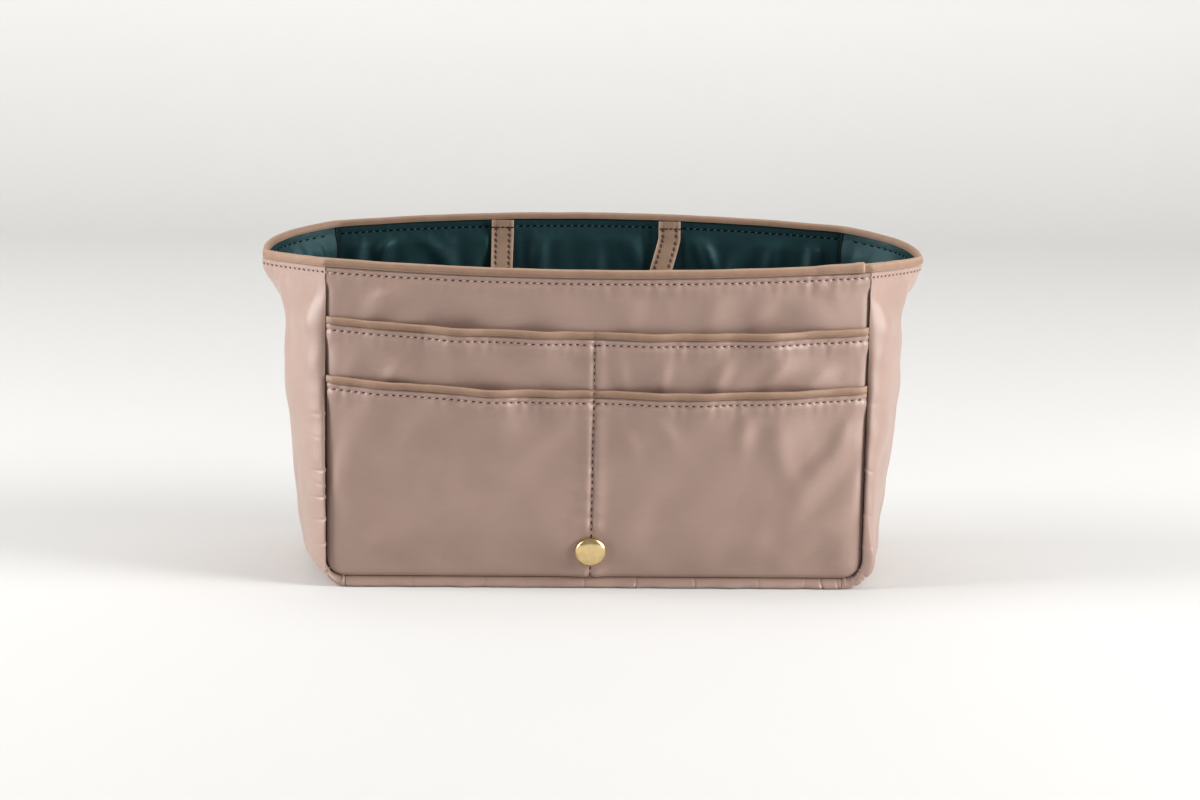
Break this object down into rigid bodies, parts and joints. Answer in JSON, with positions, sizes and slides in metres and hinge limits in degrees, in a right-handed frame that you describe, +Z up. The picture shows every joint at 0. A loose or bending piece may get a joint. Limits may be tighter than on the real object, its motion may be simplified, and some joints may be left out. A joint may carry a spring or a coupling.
{
  "type": "tote organizer",
  "caption": "Open-topped soft bag organizer with a bound rim, stacked outside pockets, pinched side gussets and carry handles that hang inside.",
  "frame": {"origin": "middle of the underside, on the surface that the organizer stands on", "axes": "+X to the right seen from the front, +Y to the back, +Z up"},
  "size_m": [0.3698, 0.1698, 0.1882],
  "materials": {
    "nylon": "satin nylon",
    "binding": "matt coated strip",
    "strap": "matt coated strap with stitched edges",
    "foam": "soft foam sheet",
    "board": "flexible sheet",
    "lining": "fine satin lining",
    "stud_metal": "polished gold tone",
    "washer_metal": "plain"
  },
  "bodies": {
    "shell": {"front_panel": "nylon", "back_panel": "nylon", "left_gusset": "nylon", "right_gusset": "nylon", "base_panel": "nylon", "middle_pocket": "nylon", "front_pocket": "nylon", "middle_pocket_binding": "binding", "front_pocket_binding": "binding", "rim_binding": "binding", "front_handle_left_end": "strap", "front_handle_right_end": "strap", "back_handle_left_end": "strap", "back_handle_right_end": "strap", "front_padding": "foam", "back_padding": "foam", "left_padding": "foam", "right_padding": "foam", "base_board": "board", "front_lining": "lining", "back_lining": "lining", "left_lining": "lining", "right_lining": "lining", "base_lining": "lining", "stud": "stud_metal", "stud_washer": "washer_metal"},
    "front_handle": {"front_handle": "strap"},
    "back_handle": {"back_handle": "strap"}
  },
  "joints": [
    {"name": "front_handle_fold", "type": "hinge", "parent": "shell", "child": "front_handle", "pos_m": [0, -0.07094, 0.16758], "axis": [1, 0, 0], "range_deg": [0, 180]},
    {"name": "back_handle_fold", "type": "hinge", "parent": "shell", "child": "back_handle", "pos_m": [0, 0.0717, 0.17682], "axis": [-1, 0, 0], "range_deg": [0, 180]}
  ]
}
